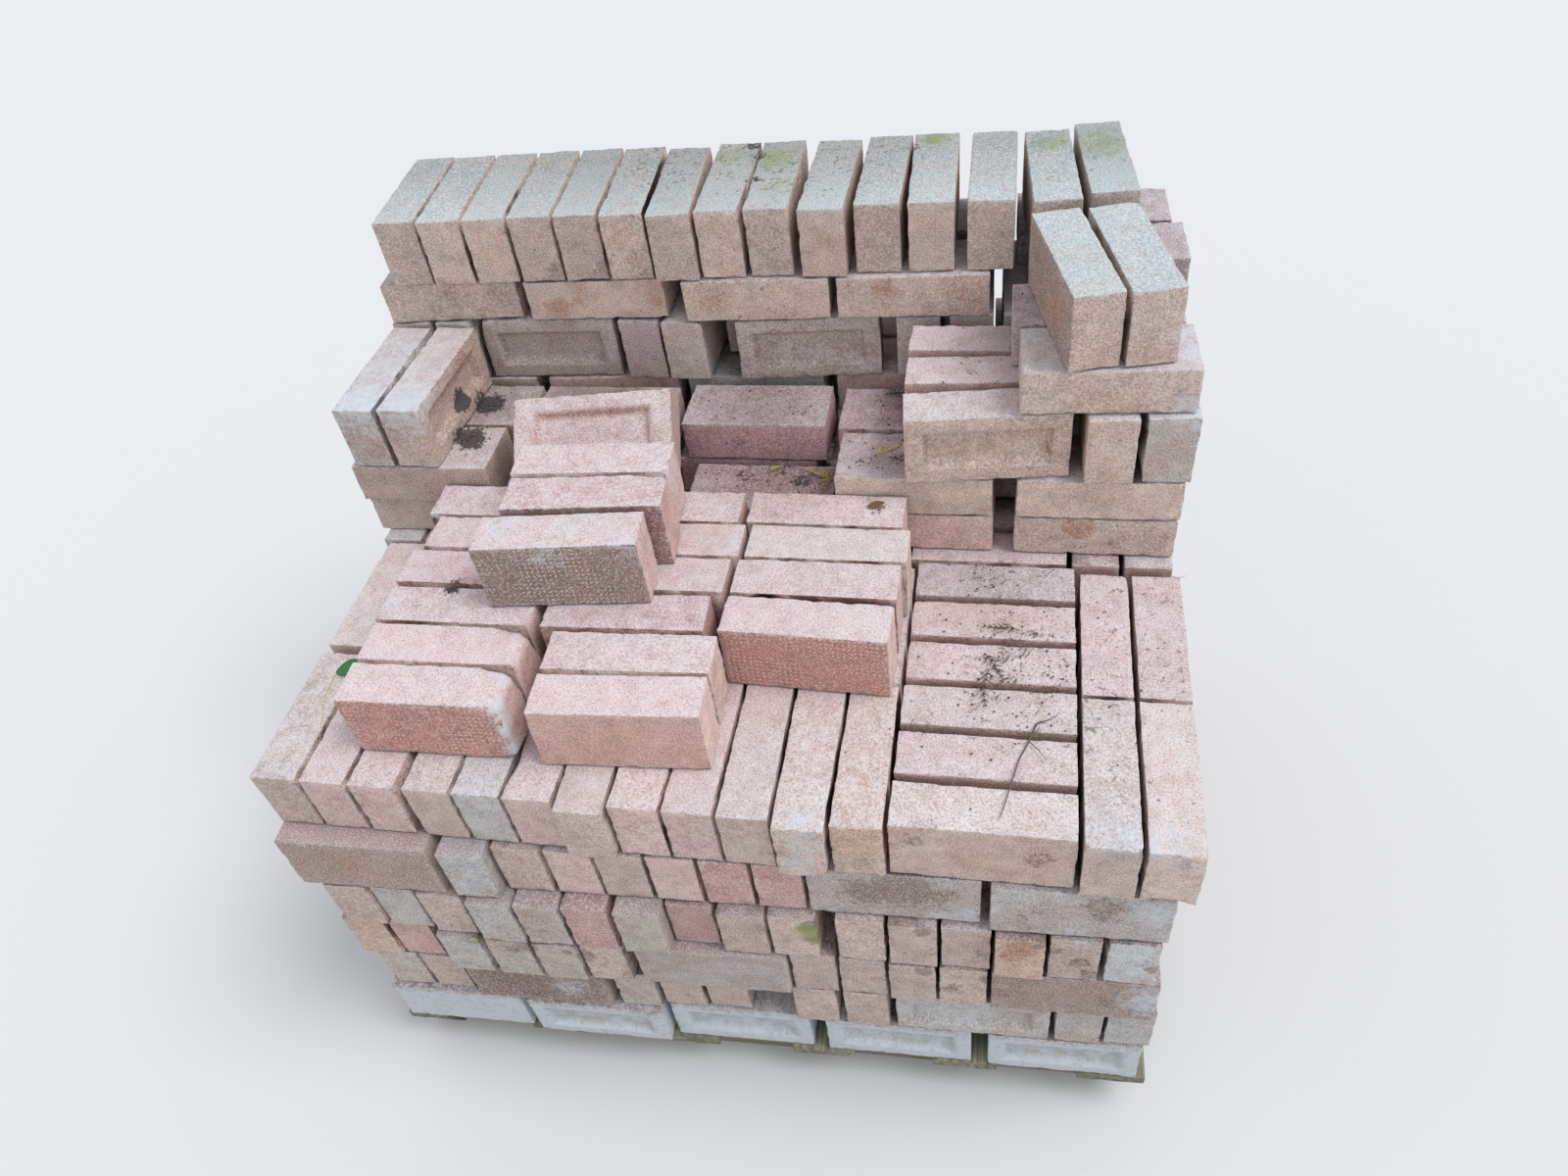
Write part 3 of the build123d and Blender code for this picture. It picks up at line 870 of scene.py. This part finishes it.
# Short ways to add shader nodes to a tree
class Nodes:
    def __init__(self, tree):
        self.tree = tree

    def feed(self, socket, value):
        if isinstance(value, bpy.types.NodeSocket):
            self.tree.links.new(value, socket)
        else:
            socket.default_value = value

    def put(self, kind, inputs=None, **settings):
        """Makes a node and gives its outputs."""
        node = self.tree.nodes.new("ShaderNode" + kind)
        for key, value in settings.items():
            setattr(node, key, value)
        for key, value in (inputs or {}).items():
            self.feed(node.inputs[key], value)
        return node.outputs

    def mix(self, factor, a, b, blend="MIX"):
        """Mixes two colours, each a socket, a linear colour or the name of a tone."""
        inputs = {0: factor}
        for key, value in ((6, a), (7, b)):
            inputs[key] = (*srgb(*TONES[value]), 1) if isinstance(value, str) else value
        return self.put("Mix", inputs, data_type="RGBA", blend_type=blend)[2]

    def fine(self, place, scale, detail, rough):
        inputs = {"Vector": place, "Scale": scale, "Detail": detail, "Roughness": rough}
        return self.put("TexNoise", inputs)["Fac"]

    def cells(self, place, scale, random=1, **settings):
        inputs = {"Vector": place, "Scale": scale, "Randomness": random}
        return self.put("TexVoronoi", inputs, **settings)["Distance"]

    def span(self, value, low, high, to_low=0.0, to_high=1.0):
        inputs = {"Value": value, "From Min": low, "From Max": high, "To Min": to_low, "To Max": to_high}
        return self.put("MapRange", inputs)[0]

    def maths(self, operation, a, b):
        return self.put("Math", {0: a, 1: b}, operation=operation)[0]

    def add(self, a, b):
        return self.maths("ADD", a, b)

    def times(self, *values):
        product = values[0]
        for value in values[1:]:
            product = self.maths("MULTIPLY", product, value)
        return product

    def shaded(self, colour, value):
        """A colour made lighter or darker by a value."""
        grey = self.put("CombineColor", {0: value, 1: value, 2: value})[0]
        return self.mix(1.0, colour, grey, "MULTIPLY")

    def attribute(self, name):
        return self.put("Attribute", attribute_name=name)

    def channels(self, colour):
        return self.put("SeparateColor", {0: colour})[:3]

    def coordinates(self, vector):
        return self.put("SeparateXYZ", {0: vector})

    def stretched(self, place, scale):
        return self.put("Mapping", {"Vector": place, "Scale": scale})[0]

    def bump(self, height, strength, distance):
        return self.put("Bump", {"Height": height, "Strength": strength, "Distance": distance})[0]


def new_material(name, roughness, kind=Nodes):
    material = bpy.data.materials.new(name)
    material.use_nodes = True
    shader = material.node_tree.nodes["Principled BSDF"]
    shader.inputs["Roughness"].default_value = roughness
    shader.inputs["Specular IOR Level"].default_value = 0.25
    return material, kind(material.node_tree), shader.inputs


class BrickNodes(Nodes):
    """Nodes with the attributes and the noise that the layers of a brick share."""

    def __init__(self, tree):
        super().__init__(tree)
        self.loc = self.attribute("loc")["Vector"]
        self.tint, self.tint_b = self.attribute("tint"), self.attribute("tint_b")
        self.rim, self.bed = self.tint["Alpha"], self.tint_b["Alpha"]
        growth, clay = self.attribute("growth"), self.attribute("clay")
        self.moss, self.salt, self.soil = self.channels(growth["Color"])
        self.rust, self.stain, self.frog = self.channels(clay["Color"])
        self.dull, self.spots = growth["Alpha"], clay["Alpha"]
        self.up = self.coordinates(self.put("NewGeometry")["Normal"])[2]
        self.place = self.coordinates(self.put("TexCoord")["Object"])
        self.level = self.place[2]
        self.patch = self.fine(self.loc, 13, 3, 0.6)
        self.cloud = self.fine(self.loc, 46, 4, 0.65)
        self.ragged = self.fine(self.loc, 105, 4, 0.7)
        self.sand = self.fine(self.loc, 400, 2, 0.7)
        self.grain = self.fine(self.loc, 850, 1, 0.5)
        self.pits = self.cells(self.loc, 130)
        self.nicks = self.times(self.rim, self.span(self.ragged, 0.44, 0.36, 0, 0.5))
        self.green = self.mark(self.moss, 0.4, self.ragged, 0.66, 0.96, 0.8)
        self.black = self.mark(self.soil, 0.5, self.ragged, 0.84, 0.92, 0.92)

    def mark(self, amount, weight, edge, low, high, most):
        """A mark whose edge is broken up by noise."""
        return self.span(self.add(self.times(amount, weight), edge), low, high, 0, most)


# Layers of a brick: each takes a colour and gives it with the layer on it
def clay_colour(n):
    colour = n.mix(n.span(n.patch, 0.43, 0.58), n.tint["Color"], n.tint_b["Color"])
    colour = n.shaded(colour, n.span(n.cloud, 0.32, 0.66, 0.82, 1.1))
    smear = n.span(n.fine(n.loc, 24, 5, 0.7), 0.53, 0.64, 0, 0.4)
    smear = n.times(smear, n.span(n.up, 0.2, 0.7, 1, 0.4))
    return n.mix(smear, colour, "smear")


def pin_pricks(n, colour):
    """Rows of pale pin pricks pressed into some bed faces."""
    dots = n.span(n.cells(n.loc, 140, 0.15, voronoi_dimensions="2D"), 0.13, 0.24, 1, 0)
    dots = n.times(dots, n.span(n.patch, 0.46, 0.52), n.span(n.bed, 0.6, 0.9, 0, 0.85))
    return n.mix(dots, colour, "pricks")


def clay_marks(n, colour):
    colour = n.mix(n.mark(n.rust, 0.45, n.cloud, 0.7, 0.9, 0.65), colour, "burnt")
    return n.mix(n.mark(n.stain, 0.45, n.ragged, 0.72, 0.88, 0.7), colour, "brown")


def worn_arrises(n, colour):
    """Worn pale arrises with dark nicks."""
    worn = n.times(n.rim, n.span(n.ragged, 0.42, 0.58, 0, 0.45))
    colour = n.mix(worn, colour, "worn")
    return n.mix(n.nicks, colour, "nicks")


def dust_and_painted_light(n, colour):
    """Pale dust, with painted light from above, on what faces up, less of it low down; painted shade on
    upward faces low down and on the slopes in the frogs.
    """
    # The slopes inside the frogs, kept free of dust and given painted shade below
    shaded_frog_slope = n.times(n.span(n.frog, 0.02, 0.2), n.span(n.frog, 0.9, 1, 1, 0))
    low = n.span(n.level, 0.7, 0.62)
    # Pale on upward faces: real dust and painted light from above
    dust_and_top_light = n.times(n.span(n.up, 0.3, 0.9), n.span(n.cloud, 0.32, 0.64, 0.15, 0.55))
    dust_and_top_light = n.times(dust_and_top_light, n.span(n.dull, 0, 1, 1, 0.15), n.span(shaded_frog_slope, 0, 1, 1, 0))
    dust_and_top_light = n.times(dust_and_top_light, n.span(low, 0, 1, 1, 0.1))
    colour = n.mix(dust_and_top_light, colour, "dust_and_top_light")
    # Painted shade: darker mauve on upward faces low down, outside the frogs
    low_ledge_shade = n.times(low, n.span(n.up, 0.3, 0.9), n.span(n.frog, 0, 0.2, 0.5, 0))
    colour = n.mix(low_ledge_shade, colour, "low_ledge_shade")
    # Painted shade on the frog slopes, most where they face sideways or down
    painted_frog_shade = n.times(shaded_frog_slope, n.span(n.up, 0.1, 0.4, 0.35, 0.1))
    return n.mix(painted_frog_shade, colour, "shaded_frog_slope")


def filmed(n, colour):
    """A thin film on the top row, pale at the front and green grey behind."""
    high = n.span(n.level, TOP_ROW + 0.07, TOP_ROW + 0.1)
    film = n.times(high, n.span(n.up, 0.3, 0.8), n.span(n.cloud, 0.35, 0.62, 0.4, 0.75))
    tone = n.mix(n.span(n.place[1], 0.24, 0.4), "film_front", "film_back")
    return n.mix(film, colour, tone)


def sanded(n, colour):
    """Sand with light and dark grains, pits, and upward faces darkened in patches, painted shade in the pit
    and dirt elsewhere.
    """
    colour = n.mix(n.span(n.sand, 0.52, 0.62, 0, 0.5), colour, "light_sand")
    colour = n.mix(n.span(n.sand, 0.48, 0.37, 0, 0.42), colour, "dark_sand")
    colour = n.shaded(colour, n.span(n.grain, 0.3, 0.7, 0.84, 1.12))
    pitted = n.span(n.pits, 0.05, 0.13, 1, 0)
    pitted = n.times(pitted, n.span(n.ragged, 0.5, 0.58, 0, 0.5))
    colour = n.mix(pitted, colour, "pits")
    # Painted shade in the pit and dirt elsewhere darken upward faces
    dull = n.times(n.dull, n.span(n.up, 0, 0.6))
    return n.shaded(colour, n.span(dull, 0, 1, 1, 0.78))


def grown(n, colour):
    """Lichen spots, salt, damp in the low frogs, moss and soil."""
    colour = n.mix(n.mark(n.spots, 0.15, n.ragged, 0.71, 0.76, 0.75), colour, "speck")
    colour = n.mix(n.mark(n.salt, 0.42, n.ragged, 0.66, 0.98, 0.75), colour, "salt")
    damp = n.times(n.frog, n.span(n.level, LOWEST_COURSE, LOWEST_COURSE - 0.01), 0.5)
    colour = n.mix(n.times(damp, n.span(n.cloud, 0.4, 0.6)), colour, "damp")
    colour = n.mix(n.green, colour, "moss")
    return n.mix(n.black, colour, "soil")


def relief(n):
    height = n.add(n.times(n.sand, 0.8), n.times(n.cloud, 0.8))
    height = n.add(height, n.span(n.pits, 0.04, 0.2, -0.4, 0))
    height = n.maths("SUBTRACT", height, n.times(n.nicks, 1.2))
    return n.add(height, n.times(n.add(n.black, n.green), 0.8))


def brick_material():
    material, n, inputs = new_material("brick_multi", 0.94, BrickNodes)
    colour = clay_colour(n)
    for layer in (pin_pricks, clay_marks, worn_arrises, dust_and_painted_light, filmed, sanded, grown):
        colour = layer(n, colour)
    n.feed(inputs["Base Color"], colour)
    n.feed(inputs["Normal"], n.bump(relief(n), 0.7, 0.0018))
    return material


def wood_material():
    material, n, inputs = new_material("pallet_wood", 0.88)
    run = n.attribute("loc")["Vector"]
    streak = n.fine(n.stretched(run, (2.0, 60.0, 60.0)), 2.2, 5, 0.6)
    crack = n.fine(n.stretched(run, (3.0, 260.0, 260.0)), 2.0, 4, 0.65)
    blot = n.fine(n.put("TexCoord")["Object"], 9, 3, 0.6)
    colour = n.mix(n.span(streak, 0.35, 0.65), "dark_wood", "light_wood")
    colour = n.mix(n.span(blot, 0.46, 0.66, 0, 0.6), colour, "green_wood")
    colour = n.mix(n.span(crack, 0.3, 0.42, 0.8, 0), colour, "crack")
    n.feed(inputs["Base Color"], colour)
    height = n.add(n.span(crack, 0.28, 0.45), n.times(streak, 0.6))
    n.feed(inputs["Normal"], n.bump(height, 0.6, 0.0015))
    return material


def litter_material():
    material, n, inputs = new_material("litter", 0.9)
    speckle = n.fine(n.attribute("loc")["Vector"], 600, 3, 0.6)
    tint = n.attribute("tint")["Color"]
    n.feed(inputs["Base Color"], n.shaded(tint, n.span(speckle, 0.3, 0.7, 0.7, 1.2)))
    n.feed(inputs["Normal"], n.bump(speckle, 0.5, 0.001))
    return material


# Read every brick and find what shows
all_points = []
all_faces = []
for name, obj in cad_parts.items():
    offset = len(all_points)
    all_points += [v.co.copy() for v in obj.data.vertices]
    all_faces += [[offset + i for i in polygon.vertices] for polygon in obj.data.polygons]
solids = BVHTree.FromPolygons(all_points, all_faces)
bricks_of = {}
for name in BRICK_NODES:
    bricks_of[name] = [Brick(part) for part in loose_parts(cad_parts[name].data)]
    for brick in bricks_of[name]:
        mark_shown(brick, solids, Vector(CAMERA_PLACE))

# Give each brick its colours
rng = np.random.default_rng(41)
for name in BRICK_NODES:
    for brick in bricks_of[name]:
        common = COMMON_LOWEST if name == "course_1" else COMMON
        letter = common[int(rng.integers(0, len(common)))]
        brick.look = (letter, BED_OF[letter], rng.random() < PRICKED_SHARE)
for name, words in FRONT_LOOKS:
    give_looks([brick for brick in bricks_of[name] if front_shows(brick)], words)
for name, rows in ROW_LOOKS.items():
    for first, last, words in rows:
        give_looks([brick for brick in bricks_of[name] if first <= brick.centre[1] <= last], words)

# Dress the stack
brick_look = brick_material()
wood_look = wood_material()
for name in BRICK_NODES:
    piece = brick_piece(name, bricks_of[name], rng)
    piece.data.materials.append(brick_look)
    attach(piece, "root")
    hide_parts(name)
for name, node, along in (("deck_timbers", "pallet_boards", 1), ("bearer_timbers", "pallet_bearers", 0)):
    piece = timber_piece(name, node, along, rng)
    piece.data.materials.append(wood_look)
    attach(piece, "root")
    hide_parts(node)
litter = lay_litter(solids, rng)
litter.data.materials.append(litter_material())
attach(litter, "root")
for name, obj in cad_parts.items():
    obj.data.materials.clear()
    obj.data.materials.append(wood_look if name.startswith("pallet") else brick_look)


# Floor, light and camera
def floor():
    mesh = bpy.data.meshes.new("floor")
    corners = [(-1, -1), (1, -1), (1, 1), (-1, 1)]
    mesh.from_pydata([(x * FLOOR_REACH, y * FLOOR_REACH, 0) for x, y in corners], [], [(0, 1, 2, 3)])
    plane = placed("floor", mesh)
    material, n, inputs = new_material("floor_pale", 0.95)
    seen = n.put("LightPath")["Is Camera Ray"]
    n.feed(inputs["Base Color"], n.mix(seen, FLOOR_LIT, FLOOR_SEEN))
    plane.data.materials.append(material)
    return plane


floor()

studio = bpy.data.worlds.new("studio")
studio.use_nodes = True
sky = Nodes(studio.node_tree)
height = sky.coordinates(sky.put("TexCoord")["Generated"])[2]
shade = sky.mix(sky.span(height, 0.0, 0.9), SKY_LOW, SKY_HIGH)
sky.feed(studio.node_tree.nodes["Background"].inputs["Color"], shade)
bpy.context.scene.world = studio

sun = bpy.data.lights.new("key", "SUN")
sun.energy = SUN_STRENGTH
sun.angle = radians(SUN_WIDTH)
key = placed("key", sun)
key.rotation_euler = Vector(SUN_FROM).to_track_quat("Z", "Y").to_euler()

lens = bpy.data.cameras.new("camera")
lens.sensor_width = 36
lens.lens = CAMERA_LENS
camera = placed("camera", lens)
camera.location = CAMERA_PLACE
camera.rotation_euler = [radians(a) for a in CAMERA_TURN]
bpy.context.scene.camera = camera

bpy.context.scene.view_settings.view_transform = "Standard"
